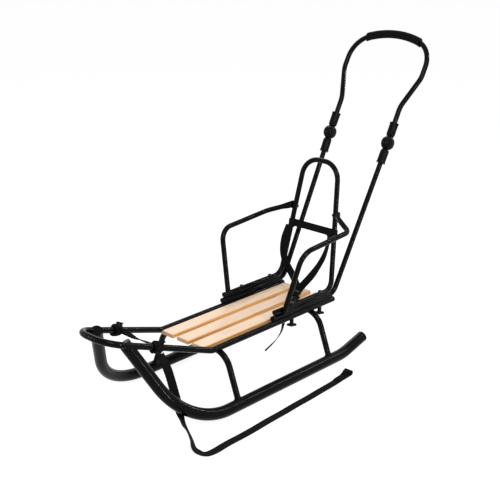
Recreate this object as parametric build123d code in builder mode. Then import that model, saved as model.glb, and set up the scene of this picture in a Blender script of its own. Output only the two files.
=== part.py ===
from build123d import *
import math
import os

# A child's metal sled: tube frame on two tubular runners, a seat of three wooden slats, a bolted backrest
# with armrests, and a push handle whose upper bow folds forward at two plastic knuckles.
# Millimetres. The nose points to -X, the left side is -Y, and the runners stand on Z = 0.
os.makedirs("parts", exist_ok=True)

# Tube sizes
rail_d = 18.0
runner_d = 34.0
hoop_d = 18.0
tube_d = 16.0
weld_gap = 0.25

# Seat frame: a loop of tube, level beside the slats and rising to a narrow nose
rail_y = 103.0
rail_z = 167.0
rail_rear_x = 408.0
kink_x = -114.0
nose_x = -447.0
nose_rise = 0.348
nose_taper = 0.117
kink_radius = 40.0
nose_radius = 60.0

# Runners: flat on the ground, turned up a little at the rear and strongly at the front
runner_y = 177.0
runner_rear_x = 468.0
runner_heel_x = 372.0
runner_heel_rise = 26.0
runner_toe_x = -271.0
runner_tip_x = -384.0
runner_tip_y = 56.0
runner_tip_z = 264.0
heel_radius = 180.0
toe_radius = 220.0

# Hoops that carry the slats and stand on the runners
hoop_xs = {"front_hoop": -82.0, "rear_hoop": 312.0}
hoop_shoulder_y = 124.0
hoop_radius = 60.0
hoop_foot_y = 175.0

# Wooden slats
slat_length = 529.0
slat_front_x = -129.0
slat_w = 45.0
slat_t = 12.0
slat_gap = 16.5
slat_edge = 3.0
slat_names = ("slat_left", "slat_middle", "slat_right")
screw_d = 4.0
screw_head_d = 9.0
screw_head_h = 2.5
screw_bite = 8.0

# Backrest arch and push handle, whose feet lie one on the other along the rail
stack_gap = 0.3
arch_foot_x = 140.0
arch_corner_x = 400.0
arch_top_x = 469.0
arch_top_y = 65.0
arch_top_z = 577.0
arch_foot_radius = 35.0
arch_top_radius = 58.0
push_foot_x = 132.0
push_corner_x = 412.0
push_foot_radius = 40.0
hub_x = 648.0
hub_y = 115.0
hub_z = 620.0

# Upper bow of the push handle, given along the lean of the handle from the knuckle's centre
bow_neck_s = 120.0
bow_hip_s = 222.0
bow_hip_y = 151.0
bow_hip_back = 6.5
bow_shoulder_s = 322.0
bow_shoulder_back = 9.0
bow_crown_s = 367.0
bow_crown_back = 10.0
bow_neck_radius = 80.0
bow_hip_radius = 70.0
bow_shoulder_radius = 84.0
bow_crown_radius = 300.0
grip_d = 26.0
grip_half = 102.0
grip_gap = 0.15

# Knuckles
hub_d = 42.0
hub_t = 26.0
hub_gap = 0.5
hub_round = 7.0
sleeve_d = 27.0
sleeve_neck_d = 19.5
sleeve_neck_r = 22.0
sleeve_full_r = 30.0
sleeve_end_r = 66.0
sleeve_lip_d = 29.0
sleeve_lip_w = 4.0
sleeve_bore_r = 38.0
hub_pin_d = 8.0
hub_pin_head_d = 18.0
hub_pin_head_h = 3.0
pin_clearance = 0.05

# Bolts through both feet and the rail, with wing nuts below
bolt_d = 6.0
bolt_clearance = 0.3
bolt_xs = (218.0, 347.0)
bolt_head_d = 12.0
bolt_head_h = 4.0
bolt_below = 24.0
nut_d = 12.0
nut_h = 12.0
wing_w = 30.0
wing_h = 11.0
wing_t = 3.0

# Armrests
arm_foot_x = 171.0
arm_foot_below = 5.0
arm_foot_sink = 4.0
arm_front_x = 194.0
arm_y = 163.0
arm_front_z = 384.0
arm_rear_x = 402.0
arm_rear_z = 399.0
arm_front_radius = 46.0
arm_rear_radius = 24.0
arm_end_z = 424.0
arm_tab_w = 25.0
arm_tab_t = 4.5
arm_tab_reach = 10.0
arm_flat_share = 0.6
arm_bolt_d = 5.0
arm_bolt_head_d = 10.0
arm_bolt_head_h = 2.4

# Plugs in the open tube ends
plug_t = 4.0

# Webbing
web_w = 20.0
web_t = 2.0
belt_z = 371.0
band_slack = 1.0
buckle_size = (46.0, 32.0, 13.0)
buckle_corner = 8.0
buckle_edge = 4.0
buckle_at = (338.0, -14.0)

# Tow strap and its knots
tow_d = 10.0
belt_d = 6.0
knot_x = -294.0
knot_d = 36.0
knot_length = 30.0
knot_edge = 7.0
band_dip = 5.0

arch_foot_z = rail_z + rail_d / 2 + stack_gap + 1.5 * tube_d + stack_gap
push_foot_z = rail_z + rail_d / 2 + stack_gap + 0.5 * tube_d
hoop_bar_z = rail_z + rail_d / 2 - slat_t - hoop_d / 2
arm_lean = math.atan2(arm_y - rail_y - tube_d, arm_front_z - arch_foot_z)
arm_foot_y = rail_y + (tube_d + stack_gap - arm_foot_sink) / math.cos(arm_lean)
lean = math.atan2(hub_x - push_corner_x, hub_z - push_foot_z)
front_x = nose_x - rail_d / 2
crown_rise = math.hypot(bow_crown_s - bow_shoulder_s, bow_crown_back - bow_shoulder_back)
crown_slope = math.atan2(crown_rise, bow_hip_y)
crown_drop = bow_crown_radius * (1 / math.cos(crown_slope) - 1)
rear_x = hub_x + (bow_crown_s - crown_drop) * math.sin(lean) + bow_crown_back * math.cos(lean) + grip_d / 2
mid_x = (front_x + rear_x) / 2
post_lean = math.atan2(arch_top_x - arch_corner_x, arch_top_z - arch_foot_z)
sides = {"left": -1, "right": 1}


def rail_point(x, side):
    """Centre of the rising front part of the rail at this x."""
    ahead = kink_x - x
    return (x, side * (rail_y - nose_taper * ahead), rail_z + nose_rise * ahead)


def post_point(z, side):
    """Centre of the backrest post at this height."""
    share = (z - arch_foot_z) / (arch_top_z - arch_foot_z)
    x = arch_corner_x + share * (arch_top_x - arch_corner_x)
    return (x, side * (rail_y + share * (arch_top_y - rail_y)), z)


def beside_post(side):
    """Plane through the backrest post where the armrest is bolted on, facing outward, X backward."""
    middle = Vector(*post_point(arm_end_z, side))
    along = (Vector(*post_point(arch_top_z, side)) - middle).normalized()
    back = Vector(0, 1, 0).cross(along).normalized()
    return Plane(origin=middle, x_dir=back, z_dir=along.cross(back) * side)


def along_handle(s, y, back=0):
    """Point s up the push handle's lean from the knuckles, and a little back from it."""
    x = hub_x + s * math.sin(lean) + back * math.cos(lean)
    return (x, y, hub_z + s * math.cos(lean) - back * math.sin(lean))


def across(point, toward):
    """Plane at a point, square to the way toward another."""
    return Plane(origin=point, z_dir=Vector(*toward) - Vector(*point))


def keep(piece, name):
    """Moves a finished piece so that the sled's middle is at X = 0, labels it and writes it."""
    solid = Pos(-mid_x, 0, 0) * piece.part
    solid.label = name
    export_step(solid, f"parts/{name}.step")


# Seat frame: one tube bent round the nose, both ends at the rear
left_nose = rail_point(nose_x, -1)
right_nose = rail_point(nose_x, 1)
rail_points = [
    (rail_rear_x, -rail_y, rail_z),
    (kink_x, -rail_y, rail_z),
    left_nose,
    right_nose,
    (kink_x, rail_y, rail_z),
    (rail_rear_x, rail_y, rail_z),
]
with BuildPart() as seat_frame:
    with BuildLine():
        FilletPolyline(*rail_points, radius=[kink_radius, nose_radius, nose_radius, kink_radius])
    with BuildSketch(across(rail_points[0], rail_points[1])):
        Circle(rail_d / 2)
    sweep()
    for side in sides.values():
        for x in bolt_xs:
            with BuildSketch(Plane.XY.offset(rail_z - rail_d)):
                with Locations((x, side * rail_y)):
                    Circle(bolt_d / 2 + bolt_clearance)
            extrude(amount=2 * rail_d, mode=Mode.SUBTRACT)
keep(seat_frame, "seat_frame")

# Runners: heel, sole, toe and a riser that leans in to the nose of the seat frame
for name, side in sides.items():
    sole_z = runner_d / 2
    runner_points = [
        (runner_rear_x, side * runner_y, sole_z + runner_heel_rise),
        (runner_heel_x, side * runner_y, sole_z),
        (runner_toe_x, side * runner_y, sole_z),
        (runner_tip_x, side * runner_tip_y, runner_tip_z),
    ]
    with BuildPart() as runner:
        with BuildLine():
            FilletPolyline(*runner_points, radius=[heel_radius, toe_radius])
        with BuildSketch(across(runner_points[0], runner_points[1])):
            Circle(runner_d / 2)
        sweep()
        # saddle that fits round the rail
        with BuildSketch(across(rail_point(nose_x, side), rail_point(kink_x, side))):
            Circle(rail_d / 2 + weld_gap)
        extrude(amount=kink_x - nose_x, mode=Mode.SUBTRACT)
    keep(runner, f"runner_{name}")
    with BuildPart() as plug:
        with BuildSketch(across(runner_points[0], runner_points[1])):
            Circle(runner_d / 2)
        extrude(amount=-plug_t)
        fillet(plug.faces().sort_by(Axis.X)[-1].edges(), plug_t / 2)
    keep(plug, f"runner_plug_{name}")

# Plugs in the rail ends
for name, side in sides.items():
    with BuildPart() as plug:
        with BuildSketch(Plane.YZ.offset(rail_rear_x)):
            with Locations((side * rail_y, rail_z)):
                Circle(rail_d / 2)
        extrude(amount=plug_t)
        fillet(plug.faces().sort_by(Axis.X)[-1].edges(), plug_t / 2)
    keep(plug, f"rail_plug_{name}")

# Hoops: a bar under the slats, bent down and out to a foot on each runner
slat_ys = [(index - 1) * (slat_w + slat_gap) for index in range(len(slat_names))]
for name, hoop_x in hoop_xs.items():
    hoop_points = [
        (hoop_x, -hoop_foot_y, runner_d / 2),
        (hoop_x, -hoop_shoulder_y, hoop_bar_z),
        (hoop_x, hoop_shoulder_y, hoop_bar_z),
        (hoop_x, hoop_foot_y, runner_d / 2),
    ]
    with BuildPart() as hoop:
        with BuildLine():
            FilletPolyline(*hoop_points, radius=hoop_radius)
        with BuildSketch(across(hoop_points[0], hoop_points[1])):
            Circle(hoop_d / 2)
        sweep()
        # feet cut to the round of the runners, shoulders to the round of the rails
        with BuildSketch(Plane.YZ.offset(hoop_x - runner_d)):
            with Locations((-runner_y, runner_d / 2), (runner_y, runner_d / 2)):
                Circle(runner_d / 2 + weld_gap)
            with Locations((-rail_y, rail_z), (rail_y, rail_z)):
                Circle(rail_d / 2 + weld_gap)
        extrude(amount=2 * runner_d, mode=Mode.SUBTRACT)
        # seats for the screws that hold the slats
        with BuildSketch(Plane.XY.offset(hoop_bar_z - hoop_d)):
            with Locations(*[(hoop_x, y) for y in slat_ys]):
                Circle(screw_d / 2 + weld_gap)
        extrude(amount=2 * hoop_d, mode=Mode.SUBTRACT)
    keep(hoop, name)

# Slats and their screws, driven up through the hoops
slat_z = hoop_bar_z + hoop_d / 2
for name, y in zip(slat_names, slat_ys):
    with BuildPart() as slat:
        with BuildSketch(Plane.XY.offset(slat_z)):
            with Locations((slat_front_x + slat_length / 2, y)):
                Rectangle(slat_length, slat_w)
        extrude(amount=slat_t)
        fillet(slat.edges().group_by(Axis.Z)[-1], slat_edge)
        with BuildSketch(Plane.XY.offset(slat_z)):
            with Locations(*[(hoop_x, y) for hoop_x in hoop_xs.values()]):
                Circle(screw_d / 2 + weld_gap)
        extrude(amount=screw_bite, mode=Mode.SUBTRACT)
    keep(slat, name)

screw_places = [(hoop_x, y) for hoop_x in hoop_xs.values() for y in slat_ys]
with BuildPart() as slat_screws:
    with BuildSketch(Plane.XY.offset(hoop_bar_z - hoop_d / 2 - screw_head_h)):
        with Locations(*screw_places):
            Circle(screw_head_d / 2)
    extrude(amount=screw_head_h)
    with BuildSketch(Plane.XY.offset(hoop_bar_z - hoop_d / 2)):
        with Locations(*screw_places):
            Circle(screw_d / 2)
    extrude(amount=hoop_d + screw_bite)
keep(slat_screws, "slat_screws")

# Backrest arch: one tube, foot to foot
arch_points = [
    (arch_foot_x, -rail_y, arch_foot_z),
    (arch_corner_x, -rail_y, arch_foot_z),
    (arch_top_x, -arch_top_y, arch_top_z),
    (arch_top_x, arch_top_y, arch_top_z),
    (arch_corner_x, rail_y, arch_foot_z),
    (arch_foot_x, rail_y, arch_foot_z),
]
with BuildPart() as backrest_arch:
    with BuildLine():
        FilletPolyline(
            *arch_points, radius=[arch_foot_radius, arch_top_radius, arch_top_radius, arch_foot_radius]
        )
    with BuildSketch(across(arch_points[0], arch_points[1])):
        Circle(tube_d / 2)
    sweep()
    with BuildSketch(Plane.XY.offset(arch_foot_z - tube_d)):
        with Locations(*[(x, side * rail_y) for x in bolt_xs for side in sides.values()]):
            Circle(bolt_d / 2 + bolt_clearance)
    extrude(amount=2 * tube_d, mode=Mode.SUBTRACT)
    for side in sides.values():
        with BuildSketch(beside_post(side)):
            Circle(arm_bolt_d / 2 + bolt_clearance)
        extrude(amount=tube_d, both=True, mode=Mode.SUBTRACT)
keep(backrest_arch, "backrest_arch")

# Lower push handle tubes
for name, side in sides.items():
    push_points = [
        (push_foot_x, side * rail_y, push_foot_z),
        (push_corner_x, side * rail_y, push_foot_z),
        (hub_x, side * hub_y, hub_z),
    ]
    slope = Vector(*push_points[2]) - Vector(*push_points[1])
    push_points[2] = tuple(Vector(*push_points[2]) - slope.normalized() * sleeve_bore_r)
    with BuildPart() as push_tube:
        with BuildLine():
            FilletPolyline(*push_points, radius=push_foot_radius)
        with BuildSketch(across(push_points[0], push_points[1])):
            Circle(tube_d / 2)
        sweep()
        with BuildSketch(Plane.XY.offset(push_foot_z - tube_d)):
            with Locations(*[(x, side * rail_y) for x in bolt_xs]):
                Circle(bolt_d / 2 + bolt_clearance)
        extrude(amount=2 * tube_d, mode=Mode.SUBTRACT)
    keep(push_tube, f"push_tube_{name}")

# Clamp bolts and wing nuts
bolt_top_z = arch_foot_z + tube_d / 2
bolt_low_z = rail_z - rail_d / 2
for name, side in sides.items():
    places = [(x, side * rail_y) for x in bolt_xs]
    with BuildPart() as bolts:
        with BuildSketch(Plane.XY.offset(bolt_low_z - bolt_below)):
            with Locations(*places):
                Circle(bolt_d / 2)
        extrude(amount=bolt_below + bolt_top_z - bolt_low_z)
        with BuildSketch(Plane.XY.offset(bolt_top_z)):
            with Locations(*places):
                Circle(bolt_head_d / 2)
        extrude(amount=bolt_head_h)
        fillet(bolts.faces().group_by(Axis.Z)[-1].edges(), bolt_head_h / 2)
    keep(bolts, f"clamp_bolts_{name}")
    with BuildPart() as nuts:
        with BuildSketch(Plane.XY.offset(bolt_low_z - nut_h)):
            with Locations(*places):
                Circle(nut_d / 2)
        extrude(amount=nut_h)
        with BuildSketch(Plane.XZ.offset(-side * rail_y)):
            with Locations(*[(x, bolt_low_z - nut_h) for x in bolt_xs]):
                with Locations((-wing_w / 3, -wing_h / 3), (wing_w / 3, -wing_h / 3)):
                    Ellipse(wing_w / 4, wing_h / 2)
        extrude(amount=wing_t / 2, both=True)
        with BuildSketch(Plane.XY.offset(bolt_low_z - 2 * nut_h)):
            with Locations(*places):
                Circle(bolt_d / 2 + pin_clearance)
        extrude(amount=2 * nut_h, mode=Mode.SUBTRACT)
    keep(nuts, f"wing_nuts_{name}")

# Armrests: up from the arch's feet, back and round the elbow to a flattened end bolted beside the post
for name, side in sides.items():
    bolted = beside_post(side)
    tab_plane = bolted.offset(tube_d / 2 + stack_gap)
    tab_front = tab_plane.offset(arm_tab_t / 2).origin - bolted.x_dir * arm_tab_reach
    elbow = Vector(arm_rear_x, side * arm_y, arm_rear_z)
    flat_start = elbow + (tab_front - elbow) * arm_flat_share
    arm_points = [
        (
            arm_foot_x,
            side * (arm_foot_y - arm_foot_below * math.tan(arm_lean)),
            arch_foot_z - arm_foot_below,
        ),
        (arm_front_x, side * arm_y, arm_front_z),
        tuple(elbow),
        tuple(flat_start),
    ]
    with BuildPart() as armrest:
        with BuildLine():
            FilletPolyline(*arm_points, radius=[arm_front_radius, arm_rear_radius])
        with BuildSketch(across(arm_points[0], arm_points[1])):
            Circle(tube_d / 2)
        sweep()
        # the tube pressed flat, then the bolted tab
        with BuildSketch(Plane(origin=flat_start, x_dir=bolted.y_dir, z_dir=flat_start - elbow)):
            Circle(tube_d / 2)
        with BuildSketch(Plane(origin=tab_front, x_dir=bolted.y_dir, z_dir=bolted.x_dir)):
            Ellipse(arm_tab_w / 2, arm_tab_t / 2)
        loft()
        with BuildSketch(tab_plane):
            with Locations(((tube_d / 2 - arm_tab_reach) / 2, 0)):
                RectangleRounded(tube_d / 2 + arm_tab_reach, arm_tab_w, arm_tab_w / 3)
        extrude(amount=arm_tab_t)
        with BuildSketch(tab_plane):
            Circle(arm_bolt_d / 2 + bolt_clearance)
        extrude(amount=arm_tab_t, mode=Mode.SUBTRACT)
        # foot cut to the round of the arch's foot
        with BuildSketch(Plane.YZ):
            with Locations((side * rail_y, arch_foot_z)):
                Circle(tube_d / 2 + weld_gap)
        extrude(amount=arm_rear_x, mode=Mode.SUBTRACT)
    keep(armrest, f"armrest_{name}")
    # bolt with its low head inside the post and its nut outside the tab
    with BuildPart() as arm_bolt:
        with BuildSketch(bolted.offset(-tube_d / 2 - weld_gap)):
            Circle(arm_bolt_head_d / 2)
        extrude(amount=-arm_bolt_head_h)
        fillet(arm_bolt.edges(), arm_bolt_head_h / 3)
        with BuildSketch(bolted.offset(-tube_d / 2 - weld_gap - arm_bolt_head_h / 2)):
            Circle(arm_bolt_d / 2)
        extrude(amount=tube_d + weld_gap + stack_gap + arm_tab_t + 2 * arm_bolt_head_h)
        with BuildSketch(tab_plane.offset(arm_tab_t)):
            RegularPolygon(arm_bolt_head_d / 2, 6)
        extrude(amount=arm_bolt_head_h)
    keep(arm_bolt, f"armrest_bolts_{name}")

# Knuckles: a socket on each lower tube, a matching half on each leg of the bow, and a pin through both
hub_axis = {name: along_handle(0, side * hub_y) for name, side in sides.items()}
for name, side in sides.items():
    centre = Vector(*hub_axis[name])
    up = Vector(math.sin(lean), 0, math.cos(lean))
    down = (Vector(push_corner_x, side * rail_y, push_foot_z) - centre).normalized()
    for half, way, cheek in (("lower", down, -side), ("upper", up, side)):
        face = Plane(origin=centre, x_dir=up, z_dir=Vector(0, cheek, 0))
        normal = Vector(0, 1, 0).cross(way).normalized()
        turning = Plane(origin=centre, x_dir=way.cross(normal), z_dir=normal)
        # cheek: a round disc with a rounded outer rim
        with BuildPart() as cheek_disc:
            with BuildSketch(face.offset(hub_gap / 2)):
                Circle(hub_d / 2)
            extrude(amount=(hub_t - hub_gap) / 2)
            fillet(cheek_disc.edges().sort_by(Axis(centre, (0, cheek, 0)))[-1], hub_round)
        with BuildPart() as knuckle:
            # sleeve, turned about the tube's own line
            with BuildSketch(turning):
                with BuildLine():
                    Polyline(
                        (0, 0),
                        (sleeve_neck_d / 2, 0),
                        (sleeve_neck_d / 2, sleeve_neck_r),
                        (sleeve_d / 2, sleeve_full_r),
                        (sleeve_d / 2, sleeve_end_r - sleeve_lip_w),
                        (sleeve_lip_d / 2, sleeve_end_r - sleeve_lip_w),
                        (sleeve_lip_d / 2, sleeve_end_r),
                        (0, sleeve_end_r),
                        close=True,
                    )
                make_face()
            revolve(axis=Axis(centre, way))
            # room for the other half's cheek to turn past
            with BuildSketch(face.offset(hub_gap / 2)):
                Circle(sleeve_neck_r)
            extrude(amount=-hub_t, mode=Mode.SUBTRACT)
            with BuildSketch(face.offset(hub_t / 2)):
                Circle(sleeve_neck_r)
            extrude(amount=hub_t, mode=Mode.SUBTRACT)
            add(cheek_disc.part)
            # bore for the tube and for the pin
            with BuildSketch(Plane(origin=centre + way * sleeve_bore_r, z_dir=way)):
                Circle(tube_d / 2 + weld_gap)
            extrude(amount=sleeve_end_r, mode=Mode.SUBTRACT)
            with BuildSketch(face.offset(-hub_t)):
                Circle(hub_pin_d / 2 + pin_clearance)
            extrude(amount=2 * hub_t, mode=Mode.SUBTRACT)
        keep(knuckle, f"knuckle_{half}_{name}")
    with BuildPart() as pin:
        with BuildSketch(Plane.XZ.offset(-centre.Y)):
            with Locations((centre.X, centre.Z)):
                Circle(hub_pin_d / 2)
        extrude(amount=hub_t / 2, both=True)
        for way in (-1, 1):
            with BuildSketch(Plane.XZ.offset(-centre.Y - way * hub_t / 2)):
                with Locations((centre.X, centre.Z)):
                    Circle(hub_pin_head_d / 2)
            extrude(amount=-way * hub_pin_head_h)
    keep(pin, f"knuckle_pin_{name}")

# Upper bow of the push handle
bow_points = [
    along_handle(sleeve_bore_r, -hub_y),
    along_handle(bow_neck_s, -hub_y),
    along_handle(bow_hip_s, -bow_hip_y, bow_hip_back),
    along_handle(bow_shoulder_s, -bow_hip_y, bow_shoulder_back),
    along_handle(bow_crown_s, 0, bow_crown_back),
    along_handle(bow_shoulder_s, bow_hip_y, bow_shoulder_back),
    along_handle(bow_hip_s, bow_hip_y, bow_hip_back),
    along_handle(bow_neck_s, hub_y),
    along_handle(sleeve_bore_r, hub_y),
]
side_radii = [bow_neck_radius, bow_hip_radius, bow_shoulder_radius]
bow_radii = [*side_radii, bow_crown_radius, *reversed(side_radii)]
with BuildPart() as handle_bow:
    with BuildLine():
        FilletPolyline(*bow_points, radius=bow_radii)
    with BuildSketch(across(bow_points[0], bow_points[1])):
        Circle(tube_d / 2)
    sweep()
keep(handle_bow, "handle_bow")

# Foam grip round the crown of the bow, along the bow's own line
with BuildPart() as handle_grip:
    with BuildLine():
        FilletPolyline(*bow_points, radius=bow_radii)
    with BuildSketch(across(bow_points[0], bow_points[1])):
        Circle(grip_d / 2)
        Circle(tube_d / 2 + grip_gap, mode=Mode.SUBTRACT)
    sweep()
    with BuildSketch(Plane.XZ):
        with Locations((hub_x, hub_z)):
            Circle(2 * bow_crown_s)
    extrude(amount=grip_half, both=True, mode=Mode.INTERSECT)
keep(handle_grip, "handle_grip")

# Belt band round both backrest posts
left_post = Vector(*post_point(belt_z, -1))
band_plane = Plane(
    origin=(left_post.X, 0, belt_z), x_dir=(0, 1, 0), z_dir=(math.sin(post_lean), 0, math.cos(post_lean))
)
band_inner = tube_d + 2 * band_slack
with BuildPart() as belt_band:
    with BuildSketch(band_plane.offset(-web_w / 2)):
        SlotCenterToCenter(-2 * left_post.Y, band_inner + 2 * web_t)
        SlotCenterToCenter(-2 * left_post.Y, band_inner, mode=Mode.SUBTRACT)
    extrude(amount=web_w)
keep(belt_band, "belt_band")

# Belt buckle, lying on the slats
seat_z = slat_z + slat_t
with BuildPart() as buckle:
    with BuildSketch(Plane.XY.offset(seat_z + weld_gap)):
        with Locations(buckle_at):
            RectangleRounded(buckle_size[0], buckle_size[1], buckle_corner)
    extrude(amount=buckle_size[2])
    fillet(buckle.edges().group_by(Axis.Z)[-1], buckle_edge)
keep(buckle, "belt_buckle")

# Tow strap drawn across from knot to knot
knot_left = Vector(*rail_point(knot_x, -1))
band_end = -knot_left.Y - knot_d / 2 - weld_gap - web_w / 2 * nose_taper
rail_ahead = Vector(*rail_point(nose_x, -1)) - knot_left
with BuildPart() as tow_band:
    with BuildSketch(
        Plane(origin=(knot_x, 0, knot_left.Z), x_dir=(0, 1, 0), z_dir=(rail_ahead.X, 0, rail_ahead.Z))
    ):
        with BuildLine():
            ThreePointArc((-band_end, 0), (0, -band_dip), (band_end, 0))
        trace(line_width=web_t)
    extrude(amount=web_w / 2, both=True)
keep(tow_band, "tow_band")

# Knots of the tow strap round the rising part of the rails
for name, side in sides.items():
    middle = Vector(*rail_point(knot_x, side))
    ahead = Vector(*rail_point(nose_x, side))
    with BuildPart() as knot:
        with BuildSketch(Plane(origin=middle, z_dir=ahead - middle)):
            Circle(knot_d / 2)
            Circle(rail_d / 2 + weld_gap, mode=Mode.SUBTRACT)
        extrude(amount=knot_length / 2, both=True)
        fillet(knot.edges().filter_by(GeomType.CIRCLE).group_by(SortBy.RADIUS)[-1], knot_edge)
    keep(knot, f"tow_knot_{name}")


def cord(route, diameter, name):
    """Tube of straight runs joined by arcs as large as the runs allow."""
    points = [Vector(*point) for point in route]
    radii = []
    for before, corner, after in zip(points, points[1:], points[2:]):
        arriving = corner - before
        leaving = after - corner
        turn = math.radians(arriving.get_angle(leaving))
        radii.append(0.45 * min(arriving.length, leaving.length) / math.tan(turn / 2))
    print(name, "radii", [round(radius) for radius in radii])
    with BuildPart() as tube:
        with BuildLine() as line:
            FilletPolyline(*points, radius=radii)
        with BuildSketch(across(points[0], points[1])):
            Circle(diameter / 2)
        sweep()
    length = sum(edge.length for edge in line.edges())
    section = math.pi * diameter**2 / 4
    print(name, "length", round(length, 1), "volume share", round(tube.part.volume / (section * length), 4))
    keep(tube, name)


# Tow strap: from the left knot, under the toe of the left runner and back along the ground
tow_route = [
    (-295.2, -95.6, 212.7),
    (-281.0, -107.0, 178.0),
    (-272.0, -115.0, 140.0),
    (-264.0, -121.0, 106.0),
    (-257.0, -127.0, 72.0),
    (-258.0, -139.0, 38.0),
    (-274.0, -163.0, 20.0),
    (-292.0, -194.0, 18.0),
    (-309.0, -224.0, 10.0),
    (-328.0, -254.0, 5.4),
    (-321.0, -282.0, 5.2),
    (-291.0, -288.0, 5.2),
    (-242.0, -283.0, 5.2),
    (-188.0, -284.0, 5.2),
    (-132.0, -282.0, 5.2),
    (-74.0, -278.0, 5.2),
    (-16.0, -277.0, 5.2),
    (42.0, -273.0, 5.2),
    (100.0, -272.0, 5.2),
    (158.0, -268.0, 5.2),
    (214.0, -266.0, 5.2),
    (260.0, -261.0, 5.2),
    (298.0, -259.0, 5.2),
]
cord(tow_route, tow_d, "tow_strap")

# Seat belt: one strap from each side of the band to the buckle, and a loose tail through the slats' edge
belt_left_route = [
    (413.6, -82.0, 366.0),
    (409.0, -79.5, 336.0),
    (402.0, -71.0, 298.0),
    (389.0, -58.0, 264.0),
    (373.0, -44.0, 234.0),
    (356.0, -30.0, 210.0),
    (343.5, -19.7, 191.3),
]
belt_right_route = [
    (413.6, 82.0, 366.0),
    (398.0, 82.3, 342.0),
    (387.0, 82.0, 310.0),
    (386.0, 81.0, 278.0),
    (392.0, 77.0, 250.0),
    (399.0, 66.0, 225.0),
    (398.0, 48.0, 204.0),
    (389.0, 28.0, 188.0),
    (378.0, 10.0, 180.5),
    (363.8, -7.5, 181.2),
]
belt_tail_route = [
    (322.0, -33.3, 180.0),
    (298.0, -44.0, 179.4),
    (270.0, -55.0, 179.4),
    (242.0, -70.0, 180.0),
    (220.0, -82.0, 181.0),
    (205.0, -89.8, 177.0),
    (197.0, -90.3, 162.0),
    (195.0, -91.0, 146.0),
    (189.0, -89.0, 122.0),
    (176.0, -83.0, 101.0),
    (158.0, -75.0, 84.0),
    (141.0, -67.0, 69.0),
]
cord(belt_left_route, belt_d, "belt_left")
cord(belt_right_route, belt_d, "belt_right")
cord(belt_tail_route, belt_d, "belt_tail")
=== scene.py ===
import math

import bmesh
import bpy
from mathutils import Matrix, Vector


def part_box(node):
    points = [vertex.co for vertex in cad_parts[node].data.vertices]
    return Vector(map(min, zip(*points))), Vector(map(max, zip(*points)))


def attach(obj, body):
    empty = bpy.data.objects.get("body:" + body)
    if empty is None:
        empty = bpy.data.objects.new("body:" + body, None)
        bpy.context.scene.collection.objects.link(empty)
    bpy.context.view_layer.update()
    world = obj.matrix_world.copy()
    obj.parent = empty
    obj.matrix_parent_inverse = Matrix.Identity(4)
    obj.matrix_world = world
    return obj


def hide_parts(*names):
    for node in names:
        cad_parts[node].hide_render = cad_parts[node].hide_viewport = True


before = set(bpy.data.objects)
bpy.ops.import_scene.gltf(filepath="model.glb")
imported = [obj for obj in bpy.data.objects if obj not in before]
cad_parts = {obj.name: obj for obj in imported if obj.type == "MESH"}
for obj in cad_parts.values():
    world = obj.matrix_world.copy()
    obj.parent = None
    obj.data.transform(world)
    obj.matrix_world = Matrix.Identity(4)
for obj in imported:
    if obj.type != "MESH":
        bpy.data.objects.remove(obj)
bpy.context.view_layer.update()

# The photograph's camera, above the nose and to its left. Its place, angle and focal length
# come from matching the tubes' outlines in the photograph.
photo_width = 500
focal_pixels = 1028.4
sensor_width = 36.0
camera_turn = -46.67
camera_tilt_down = 18.85
camera_place = (-2.1077, -1.9465, 1.3567)
camera_data = bpy.data.cameras.new("photo_camera")
camera_data.sensor_fit = "HORIZONTAL"
camera_data.sensor_width = sensor_width
camera_data.lens = sensor_width * focal_pixels / photo_width
photo_camera = bpy.data.objects.new("photo_camera", camera_data)
photo_camera.location = camera_place
photo_camera.rotation_euler = (math.radians(90 - camera_tilt_down), 0, math.radians(camera_turn))
bpy.context.scene.collection.objects.link(photo_camera)
bpy.context.scene.camera = photo_camera


# Studio: one broad soft lamp over the nose, a weaker one behind, and narrow strips that draw the
# thin bright lines along the gloss tubes. All are aimed at the middle of the seat.
studio_centre = Vector((0.0, 0.0, 0.35))
lamp_table = (
    # name, place, width and length in metres, watts, direction of the length
    ("key_lamp", (-1.3, -2.0, 3.0), (1.6, 1.6), 50.0, (0, 0, 1)),
    ("back_lamp", (1.6, 2.2, 2.4), (1.2, 1.2), 18.0, (0, 0, 1)),
    ("right_strip", (-0.1, -2.6, 0.7), (0.03, 1.9), 30.0, (0.35, 0, 1)),
    ("tail_strip", (2.0, -1.0, 1.6), (0.03, 2.0), 22.0, (1, 0, 0)),
    ("nose_strip", (-2.2, 1.5, 1.2), (0.03, 1.6), 16.0, (0.3, 1, 0)),
)
for lamp_name, place, size, watts, long_way in lamp_table:
    lamp_data = bpy.data.lights.new(lamp_name, "AREA")
    lamp_data.shape = "RECTANGLE"
    lamp_data.size, lamp_data.size_y = size
    lamp_data.energy = watts
    lamp = bpy.data.objects.new(lamp_name, lamp_data)
    back_way = (Vector(place) - studio_centre).normalized()
    side_way = Vector(long_way).cross(back_way).normalized()
    turn = Matrix((side_way, back_way.cross(side_way), back_way)).transposed()
    lamp.matrix_world = Matrix.Translation(place) @ turn.to_4x4()
    bpy.context.scene.collection.objects.link(lamp)


# White room round the sled: the camera, and what the gloss mirrors, see plain white. The surfaces
# are lit by half of that, so that the black paint stays black.
def add_node(tree, kind, inputs=None, **settings):
    """A shader node with its settings, and its sockets linked or given values."""
    node = tree.nodes.new(kind)
    for setting, value in settings.items():
        setattr(node, setting, value)
    for socket, value in (inputs or {}).items():
        if isinstance(value, bpy.types.NodeSocket):
            tree.links.new(value, node.inputs[socket])
        else:
            node.inputs[socket].default_value = value
    return node


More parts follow.
